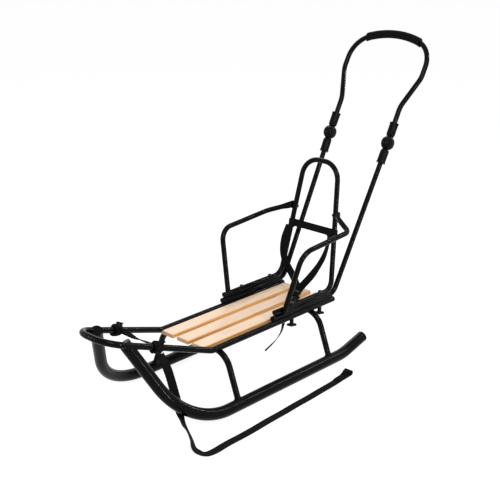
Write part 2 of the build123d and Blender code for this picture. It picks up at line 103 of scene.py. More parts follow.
def seen_directly(tree):
    """1 for what the camera sees, also in a gloss or through glass, and 0 for lighting."""
    ray = add_node(tree, "ShaderNodeLightPath")
    direct = add_node(tree, "ShaderNodeMath", operation="MAXIMUM")
    tree.links.new(ray.outputs["Is Camera Ray"], direct.inputs[0])
    tree.links.new(ray.outputs["Is Glossy Ray"], direct.inputs[1])
    either = add_node(tree, "ShaderNodeMath", operation="MAXIMUM")
    tree.links.new(direct.outputs[0], either.inputs[0])
    tree.links.new(ray.outputs["Is Transmission Ray"], either.inputs[1])
    return either.outputs[0]


ambient_level = 0.5
world = bpy.data.worlds.new("studio_world")
bpy.context.scene.world = world
world.use_nodes = True
tree = world.node_tree
tree.nodes.clear()
backdrop_white = add_node(tree, "ShaderNodeBackground", {"Color": (1, 1, 1, 1), "Strength": 1.0})
room_light = add_node(tree, "ShaderNodeBackground", {"Color": (1, 1, 1, 1), "Strength": ambient_level})
choice = add_node(tree, "ShaderNodeMixShader", {0: seen_directly(tree)})
tree.links.new(room_light.outputs[0], choice.inputs[1])
tree.links.new(backdrop_white.outputs[0], choice.inputs[2])
add_node(tree, "ShaderNodeOutputWorld", {"Surface": choice.outputs[0]})
bpy.context.scene.view_settings.view_transform = "Standard"


# Studio floor: a seamless white sheet that the sled stands on. For the camera it glows a little,
# so that it comes out white and still keeps the sled's faint shadow.
floor_half = 30.0
floor_glow = 0.75
glow_strength = 1.16
floor_mesh = bpy.data.meshes.new("studio_floor")
floor_corners = [(x * floor_half, y * floor_half, 0) for x, y in ((-1, -1), (1, -1), (1, 1), (-1, 1))]
floor_mesh.from_pydata(floor_corners, [], [(0, 1, 2, 3)])
studio_floor = bpy.data.objects.new("studio_floor", floor_mesh)
bpy.context.scene.collection.objects.link(studio_floor)
white_sheet = bpy.data.materials.new("white_sheet")
white_sheet.use_nodes = True
tree = white_sheet.node_tree
tree.nodes.clear()
matt = add_node(tree, "ShaderNodeBsdfDiffuse", {"Color": (0.93, 0.93, 0.93, 1)})
glow = add_node(tree, "ShaderNodeEmission", {"Color": (1, 1, 1, 1), "Strength": glow_strength})
share = add_node(tree, "ShaderNodeMath", {0: seen_directly(tree), 1: floor_glow}, operation="MULTIPLY")
sheet_mix = add_node(tree, "ShaderNodeMixShader", {0: share.outputs[0]})
tree.links.new(matt.outputs[0], sheet_mix.inputs[1])
tree.links.new(glow.outputs[0], sheet_mix.inputs[2])
add_node(tree, "ShaderNodeOutputMaterial", {"Surface": sheet_mix.outputs[0]})
floor_mesh.materials.append(white_sheet)


# Webbing: black polyester, woven about a yarn to the millimetre, with thicker selvedges. The tow
# strap is 25 mm wide and the belt 22 mm, and every strip is cut from a roll and sewn or knotted.
web_thickness = 0.0018
tow_width = 0.025
belt_width = 0.022
yarn_pitch = 0.0016
# In part.py the sled's own x starts at the seat, and the model's at its middle.
model_middle_x = 0.19119

woven_black = bpy.data.materials.new("woven_black")
woven_black.use_nodes = True
tree = woven_black.node_tree
cloth = tree.nodes["Principled BSDF"]
cloth.inputs["Roughness"].default_value = 0.82
cloth.inputs["IOR"].default_value = 1.15
cloth.inputs["Sheen Weight"].default_value = 0.02
cloth.inputs["Sheen Roughness"].default_value = 0.4
strip_uv = add_node(tree, "ShaderNodeTexCoord")
along_across = add_node(tree, "ShaderNodeSeparateXYZ", {0: strip_uv.outputs["UV"]})
yarn_turns = 2 * math.pi / yarn_pitch
weft_phase = add_node(
    tree, "ShaderNodeMath", {0: along_across.outputs["X"], 1: yarn_turns}, operation="MULTIPLY"
)
warp_phase = add_node(
    tree, "ShaderNodeMath", {0: along_across.outputs["Y"], 1: yarn_turns}, operation="MULTIPLY"
)
weft = add_node(tree, "ShaderNodeMath", {0: weft_phase.outputs[0]}, operation="SINE")
warp = add_node(tree, "ShaderNodeMath", {0: warp_phase.outputs[0]}, operation="SINE")
weave = add_node(tree, "ShaderNodeMath", {0: weft.outputs[0], 1: warp.outputs[0]}, operation="MULTIPLY")
fuzz = add_node(tree, "ShaderNodeTexNoise", {"Vector": strip_uv.outputs["UV"], "Scale": 900.0, "Detail": 3.0})
yarn_height = add_node(tree, "ShaderNodeMath", {0: weave.outputs[0], 1: fuzz.outputs[0]}, operation="ADD")
yarn_bump = add_node(
    tree, "ShaderNodeBump", {"Height": yarn_height.outputs[0], "Strength": 0.55, "Distance": 0.0003}
)
tree.links.new(yarn_bump.outputs[0], cloth.inputs["Normal"])
yarn_tone = add_node(
    tree,
    "ShaderNodeMapRange",
    {"Value": weave.outputs[0], "From Min": -1.0, "From Max": 1.0, "To Min": 0.0, "To Max": 1.0},
)
yarn_colour = add_node(
    tree,
    "ShaderNodeMix",
    {0: yarn_tone.outputs[0], 6: (0.001, 0.001, 0.0011, 1), 7: (0.006, 0.006, 0.0066, 1)},
    data_type="RGBA",
)
tree.links.new(yarn_colour.outputs[2], cloth.inputs["Base Color"])


def route_line(route, steps):
    """Points of the smooth line that a strap takes along its route."""
    curve = bpy.data.curves.new("route", "CURVE")
    curve.dimensions = "3D"
    curve.resolution_u = steps
    spline = curve.splines.new("NURBS")
    spline.points.add(len(route) - 1)
    for point, place in zip(spline.points, route):
        point.co = (place[0] - model_middle_x, place[1], place[2], 1)
    spline.order_u = 3
    spline.use_endpoint_u = True
    holder = bpy.data.objects.new("route", curve)
    bpy.context.scene.collection.objects.link(holder)
    bpy.context.view_layer.update()
    mesh = bpy.data.meshes.new_from_object(holder)
    line = [vertex.co.copy() for vertex in mesh.vertices]
    bpy.data.objects.remove(holder)
    bpy.data.curves.remove(curve)
    bpy.data.meshes.remove(mesh)
    return line


# The upper half of a strip's section, from one selvedge to the other.
strip_section = (
    # share of the width, share of the thickness
    (-0.5, 0.0),
    (-0.485, 0.36),
    (-0.45, 0.5),
    (-0.4, 0.42),
    (0.0, 0.4),
    (0.4, 0.42),
    (0.45, 0.5),
    (0.485, 0.36),
    (0.5, 0.0),
)


def eased(share):
    """A share from 0 to 1 that starts and ends gently."""
    return share * share * (3 - 2 * share)


def strip(name, line, across, width, closed=False, thickness=web_thickness):
    """Flat webbing along a line. Across lists (share of the length, direction of the width) pairs."""
    count = len(line)
    reach = [0.0]
    for start, end in zip(line, line[1:]):
        reach.append(reach[-1] + (end - start).length)
    section = list(strip_section) + [(share, -height) for share, height in reversed(strip_section[1:-1])]
    mesh = bpy.data.meshes.new(name)
    shape = bmesh.new()
    uv_layer = shape.loops.layers.uv.new("strip")
    rings = []
    for index, place in enumerate(line):
        if closed:
            ahead = line[(index + 1) % count] - line[index - 1]
        else:
            ahead = line[min(index + 1, count - 1)] - line[max(index - 1, 0)]
        ahead.normalize()
        share = reach[index] / reach[-1]
        width_way = Vector(across[-1][1])
        for (low, first), (high, second) in zip(across, across[1:]):
            if low <= share <= high:
                width_way = Vector(first).lerp(Vector(second), eased((share - low) / (high - low)))
                break
        width_way -= width_way.dot(ahead) * ahead
        width_way.normalize()
        face_way = ahead.cross(width_way)
        ring = [
            shape.verts.new(place + width_way * (side * width) + face_way * (height * thickness))
            for side, height in section
        ]
        rings.append(ring)
    pairs = list(zip(range(count - 1), range(1, count)))
    if closed:
        pairs.append((count - 1, 0))
    around = len(section)
    for low, high in pairs:
        start = reach[low]
        end = reach[high] if high > low else reach[-1] + (line[0] - line[-1]).length
        for index in range(around):
            following = (index + 1) % around
            face = shape.faces.new(
                (rings[low][index], rings[low][following], rings[high][following], rings[high][index])
            )
            face.smooth = True
            lengths = (start, start, end, end)
            sides = (section[index][0], section[following][0], section[following][0], section[index][0])
            for loop, length, side in zip(face.loops, lengths, sides):
                loop[uv_layer].uv = (length, side * width)
    if not closed:
        shape.faces.new(rings[0][::-1])
        shape.faces.new(rings[-1])
    bmesh.ops.recalc_face_normals(shape, faces=shape.faces)
    shape.to_mesh(mesh)
    shape.free()
    mesh.materials.append(woven_black)
    piece = bpy.data.objects.new(name, mesh)
    bpy.context.scene.collection.objects.link(piece)
    return piece


# Tow strap: one length of webbing, knotted round the left rail. It hangs behind the runner's toe,
# folds over on the ground beside the sled and lies back along it to a sewn hand loop.
strap_on_ground = 0.0013
line_steps = 10
tow_route = [
    (-0.2952, -0.0956, 0.2127),
    (-0.284, -0.107, 0.178),
    (-0.278, -0.115, 0.14),
    (-0.273, -0.121, 0.106),
    (-0.268, -0.127, 0.072),
    (-0.268, -0.139, 0.038),
    (-0.278, -0.163, 0.02),
    (-0.292, -0.194, 0.02),
    (-0.309, -0.224, 0.0165),
    (-0.328, -0.254, 0.0075),
    (-0.321, -0.282, strap_on_ground),
    (-0.291, -0.288, strap_on_ground),
    (-0.242, -0.283, strap_on_ground),
    (-0.188, -0.284, strap_on_ground),
    (-0.132, -0.282, strap_on_ground),
    (-0.074, -0.278, strap_on_ground),
    (-0.016, -0.277, strap_on_ground),
    (0.042, -0.273, strap_on_ground),
    (0.1, -0.272, strap_on_ground),
    (0.158, -0.268, strap_on_ground),
    (0.214, -0.266, strap_on_ground),
    (0.26, -0.261, strap_on_ground),
    (0.298, -0.259, strap_on_ground),
]
tow_line = route_line(tow_route, line_steps)
tow_across = (
    # share of the length, direction of the width
    (0.0, (0.9, 0.1, 0.1)),
    (0.06, (0.95, -0.25, 0.0)),
    (0.16, (0.9, -0.3, 0.0)),
    (0.21, (0.75, 0.1, -0.5)),
    (0.26, (0.56, -0.16, -0.81)),
    (0.3, (0.56, -0.16, -0.81)),
    (0.34, (0.87, -0.3, -0.25)),
    (0.375, (0.97, 0.25, 0.0)),
    (0.405, (0.3, 0.95, 0.0)),
    (0.44, (0.0, 1.0, 0.0)),
    (1.0, (0.0, 1.0, 0.0)),
)
tow_strap = strip("tow_strap_webbing", tow_line, tow_across, tow_width)
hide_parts("tow_strap")
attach(tow_strap, "sled")


# Hand loop: the strap's far end is turned back over itself into a small eye for a hand or a hook,
# and sewn down with a boxed seam.
turned_back_z = 0.0034
loop_route = [
    (0.296, -0.259, 0.0014),
    (0.3035, -0.2588, 0.0024),
    (0.3055, -0.2587, 0.0095),
    (0.3015, -0.2588, 0.0155),
    (0.293, -0.2591, 0.0152),
    (0.283, -0.2598, 0.009),
    (0.273, -0.2603, 0.0036),
    (0.258, -0.2612, turned_back_z),
    (0.238, -0.263, turned_back_z),
]
loop_line = route_line(loop_route, line_steps)
hand_loop = strip("hand_loop", loop_line, ((0.0, (0, 1, 0)), (1.0, (0, 1, 0))), tow_width)
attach(hand_loop, "sled")


def seam(name, corners, up, body):
    """A boxed seam of thread with a cross in it. Corners go round the box, and up is off the cloth."""
    stitch_length = 0.0032
    stitch_gap = 0.0012
    thread_radius = 0.00035
    runs = [(corners[i], corners[(i + 1) % 4]) for i in range(4)]
    runs += [(corners[0], corners[2]), (corners[1], corners[3])]
    curve = bpy.data.curves.new(name, "CURVE")
    curve.dimensions = "3D"
    curve.bevel_depth = thread_radius
    curve.bevel_resolution = 2
    for start, end in runs:
        way = end - start
        count = max(1, int(way.length / (stitch_length + stitch_gap)))
        for index in range(count):
            first = start + way * (index / count)
            last = first + way.normalized() * stitch_length
            stitch = curve.splines.new("POLY")
            stitch.points.add(3)
            rises = (-0.0004, 0.0002, 0.0002, -0.0004)
            for point, share, rise in zip(stitch.points, (0.0, 0.2, 0.8, 1.0), rises):
                point.co = (*(first.lerp(last, share) + up * rise), 1)
    thread = bpy.data.objects.new(name, curve)
    bpy.context.scene.collection.objects.link(thread)
    curve.materials.append(woven_black)
    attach(thread, body)
    return thread


seam_z = turned_back_z + web_thickness / 2
seam_middle_y = -0.2615
seam_margin = 0.0035
seam_half = tow_width / 2 - seam_margin
seam_ends = (0.243 - model_middle_x, 0.268 - model_middle_x)
hand_seam = seam(
    "hand_loop_seam",
    [
        Vector((seam_ends[0], seam_middle_y - seam_half, seam_z)),
        Vector((seam_ends[1], seam_middle_y - seam_half, seam_z)),
        Vector((seam_ends[1], seam_middle_y + seam_half, seam_z)),
        Vector((seam_ends[0], seam_middle_y + seam_half, seam_z)),
    ],
    Vector((0, 0, 1)),
    "sled",
)


# Knots: each end of the cross strap and the tow strap's own end are wound round the rising part of
# a rail, layer over layer, and drawn tight.
nose_way = Vector((-1.0, 0.117, 0.348))
wrap_steps = 48
broad_lump = 0.035
small_lump = 0.02
end_offset = (0.012, 0.004, 0.013)
end_width = tow_width * 0.8
wrap_table = (
    # radius, tilt and its turn in degrees, shift along the rail, width, lengths in millimetres
    (10.4, 9, 20, -4.0, 22),
    (12.4, -20, 70, 3.0, 21),
    (14.3, 24, 150, -1.0, 20),
    (16.2, -12, 250, 5.0, 13),
)
for side_name, side in (("left", -1), ("right", 1)):
    low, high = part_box(f"tow_knot_{side_name}")
    middle = (low + high) / 2
    axis = Vector((nose_way.x, -side * nose_way.y, nose_way.z)).normalized()
    first_way = axis.cross(Vector((0, 0, 1))).normalized()
    second_way = axis.cross(first_way)
    wraps = []
    for number, (radius, tilt, turn, shift, width) in enumerate(wrap_table):
        line = []
        for step in range(wrap_steps):
            angle = 2 * math.pi * step / wrap_steps
            lumps = (
                1
                + broad_lump * math.sin(3 * angle + turn)
                + small_lump * math.sin(5 * angle + 2 * number)
            )
            round_way = first_way * math.cos(angle) + second_way * math.sin(angle)
            slant = math.tan(math.radians(tilt)) * radius * math.cos(angle - math.radians(turn))
            line.append(middle + round_way * (radius * lumps / 1000) + axis * ((shift + slant) / 1000))
        wrap = strip(
            f"knot_wrap_{side_name}_{number + 1}",
            line,
            ((0.0, axis), (1.0, axis)),
            width / 1000,
            closed=True,
        )
        wraps.append(wrap)
    # the short end left over sticks out of the knot and droops
    end_start = middle + Vector((end_offset[0], side * end_offset[1], end_offset[2]))
    end_line = [
        end_start + Vector((0.002 * i, side * 0.001 * i, 0.0012 * i - 0.00022 * i * i)) for i in range(5)
    ]
    end_across = ((0.0, (0, 1, 0.3)), (1.0, (0.2, 1, 0)))
    knot_end = strip(f"knot_end_{side_name}", end_line, end_across, end_width)
    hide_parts(f"tow_knot_{side_name}")
    for piece in (*wraps, knot_end):
        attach(piece, "sled")


# Cross strap: webbing drawn from knot to knot. It stands on edge at the right knot and turns flat
# at the left one.
band_low, band_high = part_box("tow_band")
band_x = (band_low.x + band_high.x) / 2 + model_middle_x
band_z = (band_low.z + band_high.z) / 2 + 0.001
cross_width = tow_width * 0.88
cross_route = [
    (band_x, 0.071, band_z),
    (band_x + 0.001, 0.045, band_z - 0.002),
    (band_x + 0.003, 0.015, band_z - 0.004),
    (band_x + 0.003, -0.02, band_z - 0.004),
    (band_x + 0.001, -0.048, band_z - 0.002),
    (band_x, -0.071, band_z),
]
cross_line = route_line(cross_route, 12)
cross_across = (
    (0.0, (-0.25, 0.0, 1.0)),
    (0.25, (-0.3, 0.0, 0.9)),
    (0.75, (-0.95, 0.0, 0.35)),
    (1.0, (-0.95, 0.0, 0.3)),
)
cross_strap = strip("cross_strap", cross_line, cross_across, cross_width)
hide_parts("tow_band")
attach(cross_strap, "sled")


# Belt band: a ring of webbing, sewn shut and drawn round both posts of the backrest, a little
# slack between them. The seat belt hangs from it.
band_low, band_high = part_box("belt_band")
band_middle = (band_low + band_high) / 2
post_radius = 0.008
post_lean = 0.1813
post_up = Vector((math.sin(post_lean), 0, math.cos(post_lean)))
post_back = Vector((math.cos(post_lean), 0, -math.sin(post_lean)))
post_gap = 0.0004
wrap_radius = post_radius + web_thickness / 2 + post_gap
post_inset = 0.011
post_y = band_high.y - post_inset
ring_width = 0.02
front_slack = 0.002
back_slack = 0.0015
run_steps = 33
bend_steps = 17
ring_line = []
for step in range(run_steps):
    share = step / run_steps
    slack = math.sin(math.pi * share) * front_slack
    ring_line.append(
        band_middle
        + Vector((0, post_y * (1 - 2 * share), 0))
        - post_back * (wrap_radius - slack)
    )
for step in range(bend_steps):
    angle = math.pi * step / bend_steps
    ring_line.append(
        band_middle
        + Vector((0, -post_y - wrap_radius * math.sin(angle), 0))
        - post_back * (wrap_radius * math.cos(angle))
    )
for step in range(run_steps):
    share = step / run_steps
    slack = math.sin(math.pi * share) * back_slack
    ring_line.append(
        band_middle
        + Vector((0, -post_y * (1 - 2 * share), 0))
        + post_back * (wrap_radius - slack)
    )
for step in range(bend_steps):
    angle = math.pi * step / bend_steps
    ring_line.append(
        band_middle
        + Vector((0, post_y + wrap_radius * math.sin(angle), 0))
        + post_back * (wrap_radius * math.cos(angle))
    )
belt_ring = strip("belt_ring", ring_line, ((0.0, post_up), (1.0, post_up)), ring_width, closed=True)
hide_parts("belt_band")
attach(belt_ring, "sled")


# Seat belt: two lengths of webbing looped over the band, one beside each post. They hang down to
# the buckle on the slats, and the loose end of the right one runs on through it and over the side.
belt_left_route = [
    (0.4136, -0.082, 0.366),
    (0.409, -0.0795, 0.336),
    (0.402, -0.071, 0.298),
    (0.389, -0.058, 0.264),
    (0.373, -0.044, 0.234),
    (0.356, -0.03, 0.21),
    (0.3435, -0.0197, 0.1913),
]
belt_right_route = [
    (0.4136, 0.082, 0.366),
    (0.398, 0.0823, 0.342),
    (0.387, 0.082, 0.31),
    (0.386, 0.081, 0.278),
    (0.392, 0.077, 0.25),
    (0.399, 0.066, 0.225),
    (0.398, 0.048, 0.204),
    (0.389, 0.028, 0.188),
    (0.378, 0.01, 0.1805),
    (0.3638, -0.0075, 0.1812),
]
belt_tail_route = [
    (0.322, -0.0333, 0.18),
    (0.298, -0.044, 0.1794),
    (0.27, -0.055, 0.1794),
    (0.242, -0.07, 0.18),
    (0.22, -0.082, 0.181),
    (0.205, -0.0898, 0.177),
    (0.197, -0.0903, 0.162),
    (0.195, -0.091, 0.146),
    (0.189, -0.089, 0.122),
    (0.176, -0.083, 0.101),
    (0.158, -0.075, 0.084),
    (0.141, -0.067, 0.069),
]
belt_left_across = (
    (0.0, (0.3, 0.95, 0.0)),
    (0.15, (0.45, 0.9, 0.0)),
    (0.45, (0.2, 0.95, 0.15)),
    (0.8, (-0.3, 0.75, 0.5)),
    (1.0, (-0.38, 0.68, 0.62)),
)
belt_right_across = (
    (0.0, (-0.2, 0.97, 0.0)),
    (0.2, (-0.45, 0.88, 0.1)),
    (0.5, (-0.6, 0.75, -0.1)),
    (0.7, (-0.69, 0.57, -0.38)),
    (0.88, (-0.75, 0.6, -0.2)),
    (1.0, (-0.78, 0.63, 0.0)),
)
belt_tail_across = (
    (0.0, (0.4, -0.9, 0.0)),
    (0.35, (0.5, -0.85, 0.0)),
    (0.5, (0.98, 0.1, 0.0)),
    (0.7, (0.95, 0.4, -0.05)),
    (1.0, (0.76, 0.62, -0.15)),
)
belt_table = (
    ("belt_left", belt_left_route, belt_left_across),
    ("belt_right", belt_right_route, belt_right_across),
    ("belt_tail", belt_tail_route, belt_tail_across),
)
belt_lines = {}
belts = {}
for belt_name, route, across in belt_table:
    belt_lines[belt_name] = route_line(route, line_steps)
    belts[belt_name] = strip(f"{belt_name}_webbing", belt_lines[belt_name], across, belt_width)
    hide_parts(belt_name)
    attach(belts[belt_name], "sled")


# Belt loops: each belt's top end is turned over the band and sewn to itself, so that it can slide
# along the band beside its post.
loop_height = 0.0125
loop_depth = 0.0034
loop_width = belt_width * 0.9
loop_y = 0.0765
loop_steps = 40
loop_fullness = 0.7
for side_name, side in (("left", -1), ("right", 1)):
    loop_middle = band_middle + Vector((0, side * loop_y, 0)) - post_back * wrap_radius
    line = []
    for step in range(loop_steps):
        angle = 2 * math.pi * step / loop_steps
        up_share = math.copysign(abs(math.sin(angle)) ** loop_fullness, math.sin(angle))
        line.append(
            loop_middle + post_up * (loop_height * up_share) + post_back * (loop_depth * math.cos(angle))
        )
    loop_across = ((0.0, (0, 1, 0)), (1.0, (0, 1, 0)))
    belt_loop = strip(f"belt_loop_{side_name}", line, loop_across, loop_width, closed=True)
    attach(belt_loop, "sled")


# Buckle: black moulded plastic in two halves, a forked tongue held in a hollow body by its two
# side catches, with a slotted bar at each end for the webbing.
buckle_low, buckle_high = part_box("belt_buckle")
buckle_middle = (buckle_low + buckle_high) / 2
moulded_black = bpy.data.materials.new("moulded_black")
moulded_black.use_nodes = True
tree = moulded_black.node_tree
plastic = tree.nodes["Principled BSDF"]
plastic.inputs["IOR"].default_value = 1.15
place_on_piece = add_node(tree, "ShaderNodeTexCoord")
skin_noise = add_node(
    tree, "ShaderNodeTexNoise", {"Vector": place_on_piece.outputs["Object"], "Scale": 1400.0, "Detail": 2.0}
)
flow_noise = add_node(
    tree, "ShaderNodeTexNoise", {"Vector": place_on_piece.outputs["Object"], "Scale": 45.0, "Detail": 4.0}
)
skin_bump = add_node(
    tree, "ShaderNodeBump", {"Height": skin_noise.outputs[0], "Strength": 0.12, "Distance": 0.0002}
)
tree.links.new(skin_bump.outputs[0], plastic.inputs["Normal"])
skin_rough = add_node(
    tree,
    "ShaderNodeMapRange",
    {"Value": flow_noise.outputs[0], "From Min": 0.3, "From Max": 0.7, "To Min": 0.2, "To Max": 0.3},
)
tree.links.new(skin_rough.outputs[0], plastic.inputs["Roughness"])
skin_colour = add_node(
    tree,
    "ShaderNodeMix",
    {0: flow_noise.outputs[0], 6: (0.001, 0.001, 0.0011, 1), 7: (0.003, 0.003, 0.0032, 1)},
    data_type="RGBA",
)
tree.links.new(skin_colour.outputs[2], plastic.inputs["Base Color"])


def moulded_plate(name, outline, holes, low_z, high_z, round_off):
    """A flat moulding with rounded edges: an outline with holes through it, in millimetres."""
    curve = bpy.data.curves.new(name, "CURVE")
    curve.dimensions = "2D"
    curve.fill_mode = "BOTH"
    curve.extrude = (high_z - low_z) / 2000 - round_off / 1000
    curve.bevel_depth = round_off / 1000
    curve.bevel_resolution = 3
    curve.offset = -round_off / 1000
    for loop in (outline, *holes):
        spline = curve.splines.new("POLY")
        spline.points.add(len(loop) - 1)
        for point, (x, y) in zip(spline.points, loop):
            point.co = (x / 1000, y / 1000, 0, 1)
        spline.use_cyclic_u = True
    holder = bpy.data.objects.new(name, curve)
    bpy.context.scene.collection.objects.link(holder)
    bpy.context.view_layer.update()
    mesh = bpy.data.meshes.new_from_object(holder)
    bpy.data.objects.remove(holder)
    bpy.data.curves.remove(curve)
    mesh.transform(Matrix.Translation((0, 0, (low_z + high_z) / 2000)))
    level = 0.99
    for face in mesh.polygons:
        face.use_smooth = abs(face.normal.z) < level
    return mesh


def rounded(x_low, x_high, y_low, y_high, radius):
    """Outline of a rounded rectangle, in millimetres."""
    corners = ((x_high, y_high, 0), (x_low, y_high, 90), (x_low, y_low, 180), (x_high, y_low, 270))
    corner_steps = 4
    points = []
    for x, y, turn in corners:
        centre_x = x - math.copysign(radius, x - (x_low + x_high) / 2)
        centre_y = y - math.copysign(radius, y - (y_low + y_high) / 2)
        for step in range(corner_steps + 1):
            angle = math.radians(turn + 90 * step / corner_steps)
            points.append((centre_x + radius * math.cos(angle), centre_y + radius * math.sin(angle)))
    return points


buckle_half_y = 14.0
tongue_outline = rounded(-22.5, -6, -buckle_half_y, buckle_half_y, 4)
tongue_slots = [rounded(-19.5, -15.5, -11, 11, 1.6), rounded(-12.5, -10, -11, 11, 1.0)]
body_outline = rounded(-5.5, 22.5, -buckle_half_y + 1.2, buckle_half_y - 1.2, 5)
body_slots = [rounded(15.5, 19.5, -10.5, 10.5, 1.6)]
ridge_outline = rounded(-3.5, 12.5, -4.5, 4.5, 3.0)
left_outline = rounded(-2.5, 8.5, -buckle_half_y - 1.6, -buckle_half_y + 3, 1.9)
right_outline = rounded(-2.5, 8.5, buckle_half_y - 3, buckle_half_y + 1.6, 1.9)
buckle_table = (
    # name, outline, slots, lowest and highest in mm over the seat, rounding
    ("tongue", tongue_outline, tongue_slots, 1.5, 8.0, 1.2),
    ("body_shell", body_outline, body_slots, 0.4, 10.4, 2.2),
    ("ridge", ridge_outline, [], 9.5, 11.6, 0.9),
    ("catch_left", left_outline, [], 2.4, 8.6, 1.2),
    ("catch_right", right_outline, [], 2.4, 8.6, 1.2),
)
buckle_turn = Matrix.Rotation(math.radians(30), 4, "Z")
buckle_foot = (buckle_middle.x, buckle_middle.y, buckle_low.z)
buckle_place = Matrix.Translation(buckle_foot) @ buckle_turn
for part_name, outline, slots, low_z, high_z, round_off in buckle_table:
    mesh = moulded_plate(f"buckle_{part_name}", outline, slots, low_z, high_z, round_off)
    mesh.transform(buckle_place)
    mesh.materials.clear()
    mesh.materials.append(moulded_black)
    piece = bpy.data.objects.new(f"buckle_{part_name}", mesh)
    bpy.context.scene.collection.objects.link(piece)
    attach(piece, "sled")
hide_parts("belt_buckle")


# Frame, runners, hoops, backrest, armrests and handle: bent steel tube, welded and then sprayed
# in gloss black with the faint ripple of powder coat.
gloss_black = bpy.data.materials.new("gloss_black")
gloss_black.use_nodes = True
tree = gloss_black.node_tree
paint = tree.nodes["Principled BSDF"]
paint.inputs["IOR"].default_value = 1.17
place_on_piece = add_node(tree, "ShaderNodeTexCoord")
ripple = add_node(
    tree, "ShaderNodeTexNoise", {"Vector": place_on_piece.outputs["Object"], "Scale": 420.0, "Detail": 2.0}
)
cloud = add_node(
    tree, "ShaderNodeTexNoise", {"Vector": place_on_piece.outputs["Object"], "Scale": 18.0, "Detail": 5.0}
)
speck = add_node(
    tree, "ShaderNodeTexNoise", {"Vector": place_on_piece.outputs["Object"], "Scale": 2200.0, "Detail": 1.0}
)
ripple_bump = add_node(
    tree, "ShaderNodeBump", {"Height": ripple.outputs[0], "Strength": 0.05, "Distance": 0.0003}
)
speck_bump = add_node(
    tree,
    "ShaderNodeBump",
    {"Height": speck.outputs[0], "Normal": ripple_bump.outputs[0], "Strength": 0.03, "Distance": 0.0001},
)
tree.links.new(speck_bump.outputs[0], paint.inputs["Normal"])
paint_rough = add_node(
    tree,
    "ShaderNodeMapRange",
    {"Value": cloud.outputs[0], "From Min": 0.3, "From Max": 0.7, "To Min": 0.07, "To Max": 0.13},
)
tree.links.new(paint_rough.outputs[0], paint.inputs["Roughness"])
paint_colour = add_node(
    tree,
    "ShaderNodeMix",
    {0: cloud.outputs[0], 6: (0.0008, 0.0008, 0.0009, 1), 7: (0.002, 0.002, 0.0022, 1)},
    data_type="RGBA",
)
tree.links.new(paint_colour.outputs[2], paint.inputs["Base Color"])


def dress(material, *node_names):
    """Give solids of the frame a finish."""
    for node_name in node_names:
        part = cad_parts[node_name]
        part.data.materials.clear()
        part.data.materials.append(material)


dress(gloss_black, "seat_frame", "front_hoop", "rear_hoop", "backrest_arch", "handle_bow")
for side_name in ("left", "right"):
    dress(gloss_black, f"runner_{side_name}", f"push_tube_{side_name}", f"armrest_{side_name}")


# Welds: a rippled bead runs round each hoop's foot where it stands on its runner. It was laid by
# hand and painted over with the frame.
bead_radius = 0.0024
bead_steps = 72
bead_sides = 10
coarse_ripple = 0.14
fine_ripple = 0.06


def bead(name, foot, foot_way, foot_radius, tube, tube_way, tube_radius, from_side):
    """Bead along the line where a round foot meets a round tube."""
    foot_way = foot_way.normalized()
    tube_way = tube_way.normalized()
    first_way = foot_way.orthogonal().normalized()
    second_way = foot_way.cross(first_way)
    line = []
    for step in range(bead_steps):
        angle = 2 * math.pi * step / bead_steps
        start = foot + (first_way * math.cos(angle) + second_way * math.sin(angle)) * foot_radius
        gap = start - tube
        gap -= gap.dot(tube_way) * tube_way
        slide = foot_way - foot_way.dot(tube_way) * tube_way
        square = slide.dot(slide)
        half = gap.dot(slide)
        inside = half * half - square * (gap.dot(gap) - tube_radius**2)
        travel = (-half + from_side * math.sqrt(max(inside, 0.0))) / square
        line.append(start + foot_way * travel)
    middle = sum(line, Vector()) / len(line)
    shape = bmesh.new()
    rings = []
    for index, place in enumerate(line):
        ahead = (line[(index + 1) % len(line)] - line[index - 1]).normalized()
        out = (place - middle).normalized()
        out -= out.dot(ahead) * ahead
        out.normalize()
        up = ahead.cross(out)
        ripple = 1 + coarse_ripple * math.cos(index * math.pi / 2) + fine_ripple * math.sin(0.7 * index)
        radius = bead_radius * ripple
        ring = []
        for side in range(bead_sides):
            turn = 2 * math.pi * side / bead_sides
            ring.append(
                shape.verts.new(place + out * (radius * math.cos(turn)) + up * (radius * math.sin(turn)))
            )
        rings.append(ring)
    for low, high in zip(rings, rings[1:] + rings[:1]):
        for index in range(bead_sides):
            following = (index + 1) % bead_sides
            face = shape.faces.new((low[index], low[following], high[following], high[index]))
            face.smooth = True
    bmesh.ops.recalc_face_normals(shape, faces=shape.faces)
    mesh = bpy.data.meshes.new(name)
    shape.to_mesh(mesh)
    shape.free()
    mesh.materials.append(gloss_black)
    weld = bpy.data.objects.new(name, mesh)
    bpy.context.scene.collection.objects.link(weld)
    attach(weld, "sled")


hoop_radius = 0.009
runner_radius = 0.017
hoop_foot_y = 0.175
hoop_knee_y = 0.124
hoop_knee_z = 0.155
runner_axis_y = 0.177
for hoop_name in ("front_hoop", "rear_hoop"):
    hoop_low, hoop_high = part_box(hoop_name)
    hoop_x = (hoop_low.x + hoop_high.x) / 2
    for side_name, side in (("left", -1), ("right", 1)):
        foot = Vector((hoop_x, side * hoop_foot_y, runner_radius))
        knee = Vector((hoop_x, side * hoop_knee_y, hoop_knee_z))
        runner_axis = Vector((hoop_x, side * runner_axis_y, runner_radius))
        bead(
            f"weld_{hoop_name}_{side_name}",
            foot,
            foot - knee,
            hoop_radius,
            runner_axis,
            Vector((1, 0, 0)),
            runner_radius,
            -1,
        )


